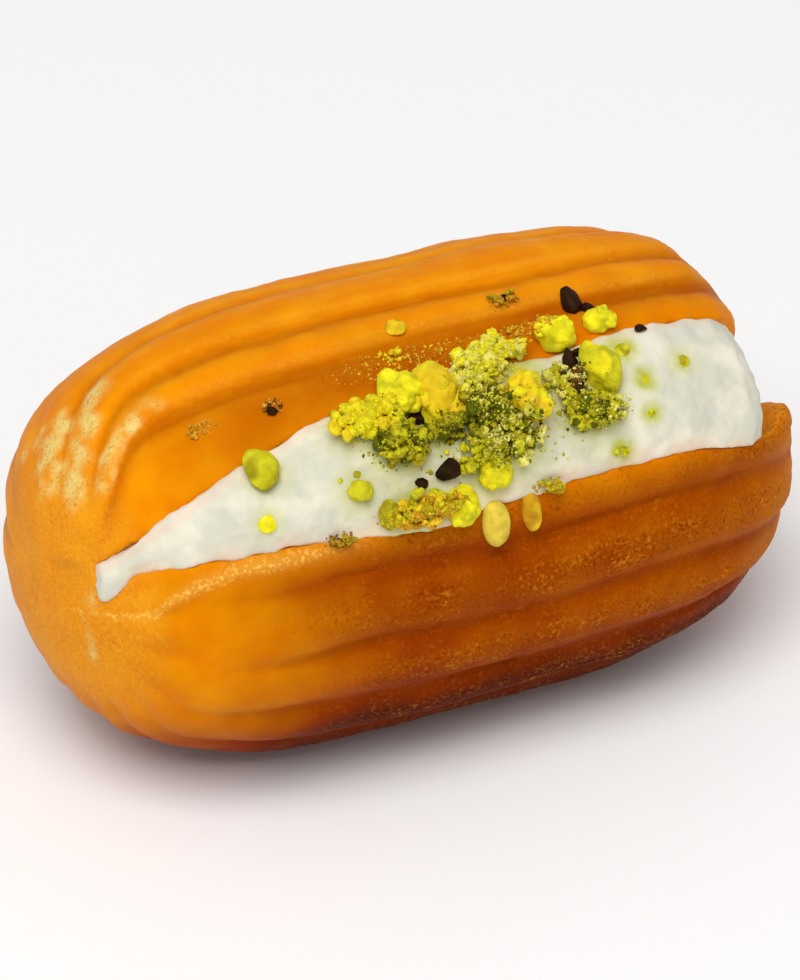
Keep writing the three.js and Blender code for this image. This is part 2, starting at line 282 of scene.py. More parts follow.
def relief(angle, share):
    """How far the surface lies below the crests of the ridges."""
    distance = np.abs(from_groove(angle, share))
    flank = 1 - np.minimum(distance / GROOVE_REACH, 1)
    worn = TOP_WORN["share"] * bump(turn_between(TOP_WORN["middle"], angle), 0, TOP_WORN["reach"])
    uneven = 1 + UNEVEN_DEPTH * slow_change(angle, share, 22) - worn
    away = np.hypot(
        (HALF_LENGTH * share - SMOOTH_PATCH["along"]) / SMOOTH_PATCH["length"],
        turn_between(SMOOTH_PATCH["around"], angle) / SMOOTH_PATCH["width"],
    )
    left = (1 - SMOOTH_PATCH["strength"] * np.exp(-(away**2))) * (1 - smoothstep(-share, *SMOOTH_CAP))
    further_down = smoothstep(np.sin(np.radians(angle)), *SHALLOW_PATCH["down"])
    left *= 1 - SHALLOW_PATCH["strength"] * smoothstep(-share, *SHALLOW_PATCH["along"]) * further_down
    depth = GROOVE_DEPTH * flank**2 + CREASE_DEPTH * np.exp(-((distance / CREASE_WIDTH) ** 2))
    return depth * uneven * profile(share) ** GROOVE_FADE * left


def turned_to_pole(share, angle):
    """Where places on the smooth stick go when the pole of their nearer end is shifted."""
    across = np.sqrt(np.clip(1 - share**2, 0, 1))
    direction = polar_direction(angle) * across[:, None]
    direction[:, 0] = share
    for end, pole in POLES.items():
        axis = np.cross([end, 0, 0], polar_direction(pole["towards"]))
        turn = np.radians(pole["shift"]) * smoothstep(share * end, pole["start"], 1)[:, None]
        level = (direction @ axis)[:, None] * axis * (1 - np.cos(turn))
        direction = direction * np.cos(turn) + np.cross(axis, direction) * np.sin(turn) + level
    return direction[:, 0], np.degrees(np.arctan2(direction[:, 2], -direction[:, 1]))


def uneven_place(points):
    """Draws back the end of the upper jaw, and draws in the top of the left end a little."""
    above = points @ polar_direction(BISECTOR + 90)
    room = UPPER_JAW_END - UPPER_JAW_BEND
    past = np.maximum(points[:, 0] - UPPER_JAW_BEND, 0)
    share = smoothstep(above, JAW_STEP, JAW_STEP + JAW_BLEND)
    drawn = share * (past - room * np.tanh(past / room))
    near_left = LEFT_DRAWN_IN["by"] * smoothstep(points[:, 0], *LEFT_DRAWN_IN["along"])
    points[:, 2] -= near_left * smoothstep(points[:, 2], *LEFT_DRAWN_IN["lowered"])
    points[:, 0] += near_left * smoothstep(points[:, 2], *LEFT_DRAWN_IN["shortened"]) - drawn
    return points


def dough_surface(share, angle):
    moved, turned = turned_to_pole(share, angle)
    radius = np.maximum(CREST_RADIUS * profile(moved) - relief(angle, share), 0)
    return uneven_place(polar(HALF_LENGTH * moved, turned, radius))


def wedge_point(x, deep, side, overlap=0.0, stand_out=0.0):
    """A point of the slit's wedge: deep is 0 at the hinge and 1 at the surface of the
    stick, and side is -1 on the lower face and 1 on the upper one."""
    low, high = lower_lip(x), upper_lip(x)
    size = np.maximum(profile(x / HALF_LENGTH), LEAST_WEDGE)
    filled_in = SHALLOW_START["share"] * smoothstep(x, SLIT_START + SHALLOW_START["length"], SLIT_START)
    deep = filled_in + (1 - filled_in) * deep
    middle = np.radians((low + high) / 2)
    hinge = polar(x, (low + high) / 2, -HINGE_BEHIND_AXIS * size)
    lip = polar(x, low + (high - low) * (side + 1) / 2, CREST_RADIUS * size + stand_out)
    across = np.stack([0 * middle, np.sin(middle), np.cos(middle)], axis=-1)
    widening = side * (HINGE_HALF_GAP * np.clip(1 - deep, 0, 1) + overlap)
    return hinge + (lip - hinge) * deep[:, None] + across * widening[:, None]


# Making and moving meshes

def points_of(mesh):
    points = np.empty(len(mesh.vertices) * 3)
    mesh.vertices.foreach_get("co", points)
    return points.reshape(-1, 3)


def normals_of(mesh):
    normals = np.empty(len(mesh.vertices) * 3)
    mesh.vertex_normals.foreach_get("vector", normals)
    return normals.reshape(-1, 3)


def move_points(mesh, points):
    mesh.vertices.foreach_set("co", np.ascontiguousarray(points).ravel())
    mesh.update()


def object_from(bm, name):
    mesh = bpy.data.meshes.new(name)
    bm.to_mesh(mesh)
    bm.free()
    made = bpy.data.objects.new(name, mesh)
    bpy.context.scene.collection.objects.link(made)
    return made


def with_modifier(made, kind, **settings):
    """Puts one modifier on an object and applies it."""
    modifier = made.modifiers.new(kind, kind)
    for name, value in settings.items():
        setattr(modifier, name, value)
    shaped = made.evaluated_get(bpy.context.evaluated_depsgraph_get())
    old, made.data = made.data, bpy.data.meshes.new_from_object(shaped)
    made.modifiers.clear()
    bpy.data.meshes.remove(old)
    return made


def face_outwards(bm):
    if bm.calc_volume(signed=True) < 0:
        bmesh.ops.reverse_faces(bm, faces=bm.faces)


def remove(made):
    mesh = made.data
    bpy.data.objects.remove(made)
    bpy.data.meshes.remove(mesh)


def attribute_of(mesh, name):
    values = np.empty(len(mesh.vertices), dtype=np.float32)
    mesh.attributes[name].data.foreach_get("value", values)
    return values.astype(float)


def set_attribute(mesh, name, values):
    layer = mesh.attributes.new(name, "FLOAT", "POINT")
    layer.data.foreach_set("value", np.ascontiguousarray(values, dtype=np.float32))


def finished(made, nodes, material):
    """Puts a piece in its place, in metres, and says what it stands for."""
    points = points_of(made.data)
    move_points(made.data, (points + [0, 0, AXIS_HEIGHT]) * MM)
    made.data.shade_smooth()
    made.data.materials.clear()
    made.data.materials.append(material)
    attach(made, "root")
    if nodes:
        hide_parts(*nodes)
    return made


def ridged_stick():
    """The whole stick before it is slit, and its vertices' places as share and angle."""
    bm = bmesh.new()
    bmesh.ops.create_grid(bm, x_segments=STICK_COLUMNS, y_segments=STICK_RINGS, size=0.5)
    layers = [bm.verts.layers.float.new(name) for name in ("share", "angle")]
    flat = np.array([vertex.co for vertex in bm.verts]) + 0.5
    share, angle = -np.cos(math.pi * flat[:, 1]), 360 * flat[:, 0]
    for vertex, point, *place in zip(bm.verts, dough_surface(share, angle), share, angle):
        vertex.co = point
        for layer, value in zip(layers, place):
            vertex[layer] = value
    bmesh.ops.remove_doubles(bm, verts=bm.verts, dist=1e-3)
    face_outwards(bm)
    stick = object_from(bm, "stick")
    return stick, *(attribute_of(stick.data, name) for name in ("share", "angle"))


def bent_box(name, steps, place):
    """A box of so many steps each way, moved by a function of where its points are from 0 to 1."""
    bm = bmesh.new()
    bmesh.ops.create_cube(bm, size=1)
    for axis, cuts in enumerate(steps):
        edges = [e for e in bm.edges if abs(e.verts[0].co[axis] - e.verts[1].co[axis]) > 0.5]
        bmesh.ops.subdivide_edges(bm, edges=edges, cuts=cuts - 1, use_grid_fill=True)
    for vertex, point in zip(bm.verts, place(np.array([v.co for v in bm.verts]) + 0.5)):
        vertex.co = point
    face_outwards(bm)
    return object_from(bm, name)


def slit_cutter():
    def place(shares):
        x = SLIT_START + (HALF_LENGTH + 2 - SLIT_START) * shares[:, 0]
        return wedge_point(x, shares[:, 1] * SLIT_REACH, shares[:, 2] * 2 - 1)

    return bent_box("slit", SLIT_STEPS, place)


def smooth_where(mesh, chosen, times):
    """Rounds off the chosen vertices, a little at a time."""
    bm = bmesh.new()
    bm.from_mesh(mesh)
    bm.verts.ensure_lookup_table()
    verts = [bm.verts[i] for i in np.flatnonzero(chosen)]
    for _ in range(times):
        bmesh.ops.smooth_vert(bm, verts=verts, factor=0.5, use_axis_x=True, use_axis_y=True, use_axis_z=True)
    bm.to_mesh(mesh)
    bm.free()


def widened(mesh, chosen, rings):
    """The chosen vertices and their neighbours, so many rings out."""
    ends = np.empty(len(mesh.edges) * 2, dtype=np.int32)
    mesh.edges.foreach_get("vertices", ends)
    first, second = ends.reshape(-1, 2).T
    for _ in range(rings):
        grown = chosen.copy()
        grown[first] |= chosen[second]
        grown[second] |= chosen[first]
        chosen = grown
    return chosen


def places_on_stick(points, tree, stick, share, angle):
    """The share and angle of the stick's surface nearest to each point, and how far off it is."""
    corners = [tuple(face.vertices) for face in stick.data.polygons]
    turn = np.radians(angle)
    ways = np.stack([share, np.cos(turn), np.sin(turn)], axis=-1)
    found = [tree.find_nearest(point) for point in points.tolist()]
    nearest = np.array([ways[list(corners[face])].mean(axis=0) for _, _, face, _ in found])
    distance = np.array([hit[3] for hit in found])
    return nearest[:, 0], np.degrees(np.arctan2(nearest[:, 2], nearest[:, 1])), distance


def tree_of(*pieces):
    """The faces of the pieces, to be searched for the nearest one or the first on a ray."""
    bm = bmesh.new()
    for piece in pieces:
        bm.from_mesh(piece.data)
    tree = BVHTree.FromBMesh(bm)
    bm.free()
    return tree


def make_dough():
    stick, share, angle = ridged_stick()
    uncut = tree_of(stick)
    whole = stick.copy()
    whole.data = stick.data.copy()
    bpy.context.scene.collection.objects.link(whole)
    cutter = slit_cutter()
    dough = with_modifier(whole, "BOOLEAN", operation="DIFFERENCE", solver="EXACT", object=cutter)
    dough.name = "dough"
    remove(cutter)
    with_modifier(dough, "REMESH", mode="VOXEL", voxel_size=DOUGH_VOXEL)
    mesh = dough.data
    along, around, distance = places_on_stick(points_of(mesh), uncut, stick, share, angle)
    remove(stick)
    cut = distance > CUT_BEYOND
    lips = widened(mesh, cut, 2) & widened(mesh, ~cut, 2)
    smooth_where(mesh, np.ones(len(cut), dtype=bool), SMOOTHING["dough"])
    smooth_where(mesh, lips, SMOOTHING["lips"])
    x = points_of(mesh)[:, 0]
    smooth_where(mesh, widened(mesh, lips, 5) & (x > ROUND_TIPS), SMOOTHING["tips"])
    above = points_of(mesh) @ polar_direction(BISECTOR + 90) > JAW_STEP
    at_end = x > np.where(above, ROUND_END["upper"], ROUND_END["lower"])
    smooth_where(mesh, at_end, SMOOTHING["ends"])
    move_points(mesh, detailed_dough(mesh, along, around, cut))
    mark_dough(mesh, along, around, cut)
    return dough


def mark_dough(mesh, along, around, cut):
    """Keeps for the dough's finish how its surface differs from place to place, mostly from 0 to 1."""
    points = points_of(mesh)
    x = along * HALF_LENGTH
    height = points[:, 2] / CREST_RADIUS
    low = smoothstep(height, *LOW_HEIGHTS)
    groove = relief(around, along) / GROOVE_DEPTH
    streak = lumps(np.stack([x / 10, around / 3.2, 0 * x], axis=-1), 1.0, 35)
    fold, sunk = left_fold(points)
    # Painted highlights on the upper flank of each ridge on top and on the fold's edge, and painted light at
    # the far left
    painted_light = bump(from_groove(around, along), RIDGE_HIGHLIGHT["past_groove"], RIDGE_HIGHLIGHT["width"])
    painted_light *= RIDGE_HIGHLIGHT["strength"] * smoothstep(height, *RIDGE_HIGHLIGHT["heights"]) * (1 - cut)
    left_end_light = steps_along(x, LEFT_END_LIGHT_STEP)
    marks = {
        "cut": cut,
        "groove": groove,
        # Painted shadow is added where the dough is sunk below the fold left of the slit
        "fried_and_shade": how_fried_and_shaded(points, x, around, height, low) + 0.05 * streak + 0.2 * sunk,
        "sandy": how_sandy(points, x, around, groove, low),
        # Pale grains and a painted highlight along the lower lip's rim
        "rim": bump(off_rim(x, around), 0, RIM["width"]) * smoothstep(x, *RIM["over"]) * (1 - cut),
        # A painted highlight in streaks at the left end, also glossy
        "coat_and_painted_highlight": painted_highlight_streaks(points) * (1 - smoothstep(groove, 0.3, 0.8)) * (1 - cut),
        "painted_light": np.maximum(painted_light, np.maximum(fold, left_end_light)),
        "streak": 0.5 + 0.5 * streak,
    }
    for name, share in marks.items():
        set_attribute(mesh, name, np.clip(share, 0, 1.5))


def how_fried_and_shaded(points, x, around, height, low):
    """How dark the crust is, partly its fried colour and mostly painted shade: most on the lower
    ridges, underneath and above the slit.
    """
    fried_and_shade = (FRIED_AND_SHADED_LOW + steps_along(x, *LOW_SHADE_STEPS)) * low
    fried_and_shade += steps_along(x, UNDERSIDE_SHADE_STEP) * smoothstep(height, *UNDER_HEIGHTS)
    for there, angle, reach, spread, strength in SHADE_PATCHES:
        fried_and_shade += strength * bump(x, there, reach) * bump(around, angle, spread)
    fried_and_shade += steps_along(x, SHADE_BAND["step"]) * bump(around, SHADE_BAND["around"], SHADE_BAND["width"])
    return fried_and_shade + 0.07 * lumps(points, 7, 31) + 0.05 * lumps(points, 2.5, 32)


def how_sandy(points, x, around, groove, low):
    """How thickly fine grains lie on the crust."""
    crest = 1 - smoothstep(groove, 0.02, 0.35)
    sandy = (SANDY_GROOVES + SANDY_CRESTS * crest) * low * smoothstep(x, *SANDY_FROM)
    sandy *= 0.85 + 0.5 * lumps(points, 5, 33)
    sandy = np.maximum(sandy, steps_along(x, SANDY_RIGHT_STEP)) + steps_along(x, SANDY_LEFT_STEP)
    patch = bump(around, SANDY_PATCH["around"], SANDY_PATCH["width"])
    return sandy + SANDY_PATCH["strength"] * patch * bump(x, SANDY_PATCH["along"], SANDY_PATCH["length"])


def painted_highlight_streaks(points):
    """Where a highlight is painted in streaks, broken up unevenly; the same streaks get a glossy coat."""
    coat_and_painted_highlight = np.zeros(len(points))
    for streak, width, strength in HIGHLIGHT_STREAKS:
        there, angles = np.array(streak).T
        line = polar(there, angles, CREST_RADIUS * profile(there / HALF_LENGTH))
        coat_and_painted_highlight = np.maximum(coat_and_painted_highlight, strength * near_line(points, line, width))
    return coat_and_painted_highlight * (0.9 + 0.65 * lumps(points, 1.5, 34))


def detailed_dough(mesh, along, around, cut):
    """The unevenness that frying gives: soft lumps, fine lines along the ridges, small blisters."""
    points, normals = points_of(mesh), normals_of(mesh)
    x = along * HALF_LENGTH
    outside = 1 - cut
    ridge_place = np.stack([x / 9, around / 2.2, 0 * x], axis=-1)
    fine_lines = lumps(ridge_place, 1.0, 3) * smoothstep(x, -12, 12) * outside
    fold, sunk = left_fold(points)
    height = 0.25 * fold - 0.35 * sunk + lip_rim(x, around) * outside
    height += 0.075 * fine_lines + 0.12 * cut * lumps(points, 1.6, 5)
    height += sum(rise * lumps(points, size, seed) for size, rise, seed in FRIED_LUMPS)
    moved = points + normals * height[:, None]
    moved[:, 2] = np.maximum(moved[:, 2], -AXIS_HEIGHT)
    return moved


def left_fold(points):
    """Left of the slit the dough goes on as a fold: where its edge is, and where it is sunk below."""
    above = points[:, 2] - FOLD["height"] + FOLD["slope"] * points[:, 1]
    near_slit = smoothstep(points[:, 1], *FOLD["across"]) * smoothstep(points[:, 0], *FOLD["along"])
    sunk = smoothstep(above, 0.25, -0.35) * np.exp(-((np.minimum(above, 0) / 2.2) ** 2))
    return near_slit * bump(above, 0.8, 0.6), near_slit * sunk


def lip_rim(x, around):
    """The lower lip has a soft rim at its left end."""
    return 0.25 * bump(off_rim(x, around), 0, 2.2) * smoothstep(x, -12, -24) * smoothstep(x, -35.5, -33)


# The cream

def cream_stand_out(x, side):
    """How far the cream stands out between the lips: more under the heap of nuts, less where
    it starts, but for its upper edge there, which is pressed up."""
    crown = 1 - side**2
    filled = CREAM_CROWN["height"] * smoothstep(x, *CREAM_CROWN["over"]) * crown
    waves = (x + CREAM_RIPPLE["slant"] * side) / CREAM_RIPPLE["length"]
    ripple = CREAM_RIPPLE["height"] * np.sin(math.tau * waves) * crown
    heap = HEAP["height"] * bump(x, HEAP["along"], HEAP["length"]) * crown
    hollow = CREAM_HOLLOW["depth"] * bump(x, CREAM_HOLLOW["along"], CREAM_HOLLOW["length"])
    pressed_up = CREAM_PRESSED_UP["height"] * bump(x, CREAM_PRESSED_UP["along"], CREAM_PRESSED_UP["length"])
    at_lips = pressed_up * smoothstep(side, 0.2, 0.9) - hollow * smoothstep(side, 0.3, -0.7)
    return filled + ripple + heap + at_lips + CREAM_LEAST


def cream_point(x, deep, side):
    near_end = smoothstep(x, CREAM_END - CREAM_ROUNDING["length"], CREAM_END)
    rounding = CREAM_ROUNDING["depth"] * near_end * deep**4 * (0.4 + 0.6 * np.maximum(side, 0))
    outwards = CREAM_INNER_END + (1 - CREAM_INNER_END) * deep
    return wedge_point(x, outwards, side, CREAM_OVERLAP, cream_stand_out(x, side) - rounding)


def make_cream():
    def place(shares):
        x = CREAM_START + (CREAM_END - CREAM_START) * shares[:, 0]
        return cream_point(x, shares[:, 1], shares[:, 2] * 2 - 1)

    cream = bent_box("whipped_cream", CREAM_STEPS, place)
    with_modifier(cream, "REMESH", mode="VOXEL", voxel_size=CREAM_VOXEL)
    mesh = cream.data
    smooth_where(mesh, np.ones(len(mesh.vertices), dtype=bool), SMOOTHING["cream"])
    points, normals = points_of(mesh), normals_of(mesh)
    height = CREAM_PILLOWS["height"] * (1 - 2 * np.abs(lumps(points, CREAM_PILLOWS["width"], 12)))
    height += sum(rise * lumps(points, size, seed) for size, rise, seed in CREAM_LUMPS)
    points += normals * height[:, None]
    move_points(mesh, points)
    mark_cream(mesh, points)
    return cream


def mark_cream(mesh, points):
    """Keeps for the cream's finish where nuts have stained it and where it meets the dough."""
    x = points[:, 0]
    stain = np.zeros(len(points))
    for there, angle, reach, strength in STAINS:
        middle = polar(there, angle, CREST_RADIUS + 0.8)
        distance = np.linalg.norm(points - middle, axis=1)
        stain = np.maximum(stain, strength * bump(distance, 0, reach))
    around = np.degrees(np.arctan2(points[:, 2], -points[:, 1]))
    lower = smoothstep(around - lower_lip(x), 5.5, 0.5)
    upper = smoothstep(upper_lip(x) - around, 3.0, 0.3)
    edge = np.maximum(lower * (0.6 + 0.6 * lumps(points, 2.5, 15)), 0.6 * upper)
    set_attribute(mesh, "stain", np.clip(stain, 0, 1))
    set_attribute(mesh, "edge", np.clip(edge, 0, 1))


# The chopped pistachio

# A chopped piece's flat faces: how far from its middle, and how much of what lies beyond is
# cut off. Then the lumps that grow on some pieces, how high above the surface the middle of a
# piece lies, and how near to each other crumbs come. All are shares of a piece's size
CHOP = {"at": (0.3, 0.44), "depth": 0.8}
KNOB = {"off_middle": 0.36, "size": (0.4, 0.6)}
RAISED = 0.2
CRUMB_REACH = 0.36


def surface_at(tree, x, angle):
    """The outermost surface at a place on the stick, and which way it faces."""
    outwards = Vector(polar_direction(angle).tolist())
    place, normal, _, _ = tree.ray_cast(Vector((x, 0, 0)) + outwards * 2 * CREST_RADIUS, -outwards)
    return place, (normal + outwards).normalized()


class Nuts:
    """Pieces of one kind, joined into one mesh, each with its own tint."""

    def __init__(self, name, fineness):
        self.name = name
        bm = bmesh.new()
        bmesh.ops.create_icosphere(bm, subdivisions=fineness, radius=0.5)
        self.pattern = bpy.data.meshes.new(name + "_pattern")
        bm.to_mesh(self.pattern)
        bm.free()
        self.points, self.tints = [], []

    def add(self, place, normal, size, colours, shape=(1.0, 1.0, 0.8), facets=4, turn=None, rough=0.26):
        """One piece about size across. Its shape is given along the stick, round it and outwards."""
        points = points_of(self.pattern)
        seed = rng.uniform(0, 50)
        points *= 1 + rough * (lumps(points, 0.6, seed) + 0.4 * lumps(points, 0.24, seed))[:, None]
        for way in rng.normal(size=(facets, 3)):
            way /= np.linalg.norm(way)
            over = points @ way - rng.uniform(*CHOP["at"])
            points -= CHOP["depth"] * np.maximum(over, 0)[:, None] * way
        points = (points * shape * size) @ lying_frame(normal, turn) + np.array(place)
        share = smoothstep(lumps(points, 0.45 * size + 0.1, seed), -0.1, 0.5)[:, None]
        tints = (1 - share) * np.array(colours[0][:3]) + share * np.array(colours[1][:3])
        tints *= 1 + 0.18 * lumps(points, 0.3 * size + 0.15, seed + 3)[:, None]
        self.points.append(points)
        self.tints.append(np.clip(tints, 0, 1))

    def add_lumpy(self, place, normal, size, colours, shape, knobs):
        """One piece of several lumps grown together."""
        self.add(place, normal, size, colours, shape, facets=4 if knobs else 0, turn=0)
        axes = lying_frame(normal, 0)
        for _ in range(knobs):
            way = rng.normal(size=3)
            way[2] = abs(way[2])
            way *= KNOB["off_middle"] * np.array(shape) * size / np.linalg.norm(way)
            knob_size = size * rng.uniform(*KNOB["size"])
            self.add(np.array(place) + way @ axes, normal, knob_size, colours, facets=2)

    def piece(self):
        bm = bmesh.new()
        for _ in self.points:
            bm.from_mesh(self.pattern)
        made = object_from(bm, self.name)
        bpy.data.meshes.remove(self.pattern)
        move_points(made.data, np.concatenate(self.points))
        layer = made.data.attributes.new("tint", "FLOAT_COLOR", "POINT")
        tints = np.pad(np.concatenate(self.tints), ((0, 0), (0, 1)), constant_values=1)
        layer.data.foreach_set("color", tints.astype(np.float32).ravel())
        return made


def lying_frame(normal, turn):
    """Which way a piece's three sides point: along the stick, round it and outwards."""
    out = np.array(normal)
    along = np.array([1.0, 0, 0]) - out * out[0]
    along /= np.linalg.norm(along)
    around = np.cross(out, along)
    angle = rng.uniform(0, math.tau) if turn is None else math.radians(turn)
    ahead = along * math.cos(angle) + around * math.sin(angle)
    return np.stack([ahead, np.cross(out, ahead), out])


class Pile:
    """Crumbs that lie on the dough and the cream, and on each other."""

    def __init__(self, tree):
        self.tree = tree
        self.lying = np.zeros((0, 4))

    def rest(self, x, angle, size):
        """Where the next crumb comes to rest there."""
        place, normal = surface_at(self.tree, x, angle)
        place += normal * size * RAISED
        offsets = self.lying[:, :3] - np.array(place)
        up = offsets @ np.array(normal)
        beside = (offsets**2).sum(axis=1) - up**2
        reach = (CRUMB_REACH * (self.lying[:, 3] + size)) ** 2
        rise = np.where(beside < reach, up + np.sqrt(np.maximum(reach - beside, 0)), 0)
        place += normal * float(np.clip(rise.max(initial=0), 0, HEAP_LIMIT))
        self.lying = np.vstack([self.lying, (*place, size)])
        return place, normal


YELLOW = srgb(246, 232, 34)
GOLD = srgb(242, 204, 36)
PALE_YELLOW = srgb(240, 232, 128)
LIME = srgb(212, 206, 34)
OLIVE = srgb(176, 164, 28)
DARK_GREEN = srgb(88, 92, 14)
BEIGE = srgb(226, 198, 74)
AMBER = srgb(204, 150, 28)
SANDY = srgb(232, 166, 56)
BROWN = srgb(112, 66, 26)
SKIN = srgb(44, 14, 14)
DARK_SKIN = srgb(24, 5, 8)

# The pieces that stand out, as distance along, angle round, size, colours, shape and how
# many lumps it has grown
CHUNKS = [
    (-19.4, 48.5, 3.5, (LIME, OLIVE), (0.8, 1.1, 0.65), 0),
    (-11.6, 38.0, 2.2, (LIME, OLIVE), (0.9, 1, 0.8), 0),
    (-5.4, 57.5, 4.3, (YELLOW, LIME), (1, 1.1, 0.9), 5),
    (-8.3, 52.5, 2.4, (YELLOW, LIME), (1, 1, 0.8), 4),
    (-10.8, 53.0, 1.8, (YELLOW, GOLD), (1, 1, 0.8), 3),
    (-2.5, 54.6, 4.7, (GOLD, YELLOW), (0.95, 1.1, 0.9), 3),
    (-7.2, 45.5, 2.4, (OLIVE, LIME), (1, 1, 0.8), 4),
    (-5.9, 43.0, 2.1, (GOLD, YELLOW), (1, 0.9, 0.8), 2),
    (-3.2, 29.3, 3.3, (YELLOW, LIME), (1, 1.05, 0.85), 1),
    (-5.2, 31.3, 2.4, (LIME, OLIVE), (1, 1, 0.8), 4),
    (-7.3, 29.8, 2.1, (AMBER, GOLD), (1, 1, 0.8), 3),
    (-9.5, 31.5, 2.2, (OLIVE, LIME), (1, 1, 0.7), 3),
    (0.8, 35.5, 3.1, (YELLOW, LIME), (1, 0.95, 0.7), 2),
    (4.5, 48.0, 4.6, (GOLD, YELLOW), (0.95, 1, 1.15), 5),
    (10.8, 64.5, 3.6, (YELLOW, LIME), (1, 0.95, 0.8), 3),
    (15.2, 65.5, 2.6, (YELLOW, LIME), (1.05, 0.85, 0.8), 2),
    (12.6, 52.0, 4.0, (LIME, YELLOW), (0.72, 1.15, 0.8), 0),
    (3.9, 64.0, 2.0, (YELLOW, PALE_YELLOW), (0.9, 1, 0.8), 3),
    (6.2, 63.5, 1.9, (YELLOW, LIME), (0.9, 1, 0.8), 2),
    (2.0, 61.0, 1.9, (YELLOW, PALE_YELLOW), (1, 0.9, 0.8), 2),
    (0.4, 58.5, 2.0, (PALE_YELLOW, LIME), (1, 1, 0.8), 3),
    (2.6, 55.5, 2.0, (LIME, PALE_YELLOW), (1, 1, 0.8), 3),
    (9.6, 43.5, 1.9, (LIME, OLIVE), (1, 1, 0.8), 3),
    (12.2, 42.0, 1.7, (LIME, YELLOW), (1, 1, 0.8), 3),
    (1.6, 45.0, 2.0, (OLIVE, DARK_GREEN), (1, 1, 0.7), 4),
]
# Smooth ones that lie flat, the same but for the lumps
SMOOTH_CHUNKS = [
    (0.4, 22.8, 3.9, (BEIGE, BEIGE), (0.68, 1.05, 0.45)),
    (3.9, 23.4, 3.5, (AMBER, GOLD), (0.52, 1.05, 0.4)),
    (-2.4, 79.0, 1.9, (GOLD, AMBER), (1, 1, 0.3)),
    (-20.1, 36.0, 1.7, (YELLOW, YELLOW), (1, 1, 0.25)),
    (21.3, 50.3, 1.2, (OLIVE, LIME), (1, 1, 0.2)),
    (15.8, 56.0, 1.3, (OLIVE, LIME), (1, 1, 0.25)),
    (16.8, 47.5, 1.0, (LIME, OLIVE), (1, 1, 0.2)),
    (16.4, 39.5, 0.8, (LIME, OLIVE), (1, 1, 0.2)),
    (-11.4, 42.0, 0.7, (OLIVE, OLIVE), (1, 1, 0.3)),
    (-13.0, 41.5, 0.5, (LIME, OLIVE), (1, 1, 0.3)),
]
SKINS = [
    (-3.7, 37.8, 2.2, (1, 1, 0.65)),
    (-6.1, 36.5, 1.1, (1, 1, 0.6)),
    (13.8, 75.0, 2.9, (0.7, 1, 0.55)),
    (15.0, 71.3, 1.4, (0.8, 1, 0.5)),
    (10.7, 56.0, 2.2, (0.6, 1, 0.6)),
    (11.6, 57.8, 1.5, (1, 0.5, 0.6)),
    (10.2, 51.5, 1.8, (1, 0.8, 0.6)),
    (-16.3, 63.0, 0.9, (1, 1, 0.6)),
    (18.4, 60.8, 1.3, (1, 0.6, 0.5)),
    (-4.5, 51.0, 2.0, (1.3, 0.6, 0.6)),
    (-10.4, 57.0, 0.9, (1, 0.7, 0.5)),
    (8.0, 79.5, 0.9, (1, 0.7, 0.5)),
]
# Where nuts have stained the cream: distance along, angle round, reach and strength
STAINS = [
    (-20.1, 36, 1.3, 0.9),
    (-19.0, 47.5, 2.0, 0.8),
    (-11.6, 38, 1.8, 0.9),
    (-9.6, 53.5, 2.8, 1.1),
    (-7.0, 46, 3.0, 1.3),
    (-7.0, 31, 2.8, 1.1),
    (-3.5, 48.5, 3.0, 1.3),
    (1.5, 50, 4.4, 1.3),
    (2.6, 42, 3.5, 1.3),
    (0.6, 36, 2.4, 1.2),
    (5.0, 57, 3.4, 1.1),
    (10.6, 45, 3.3, 1.3),
    (12.6, 52, 2.4, 1.1),
    (21.3, 50.3, 1.3, 2.2),
    (15.8, 56, 1.3, 2.0),
    (16.8, 47.5, 1.1, 1.8),
    (16.4, 39.5, 1.0, 1.5),
    (13.0, 32.5, 1.2, 1.4),
]
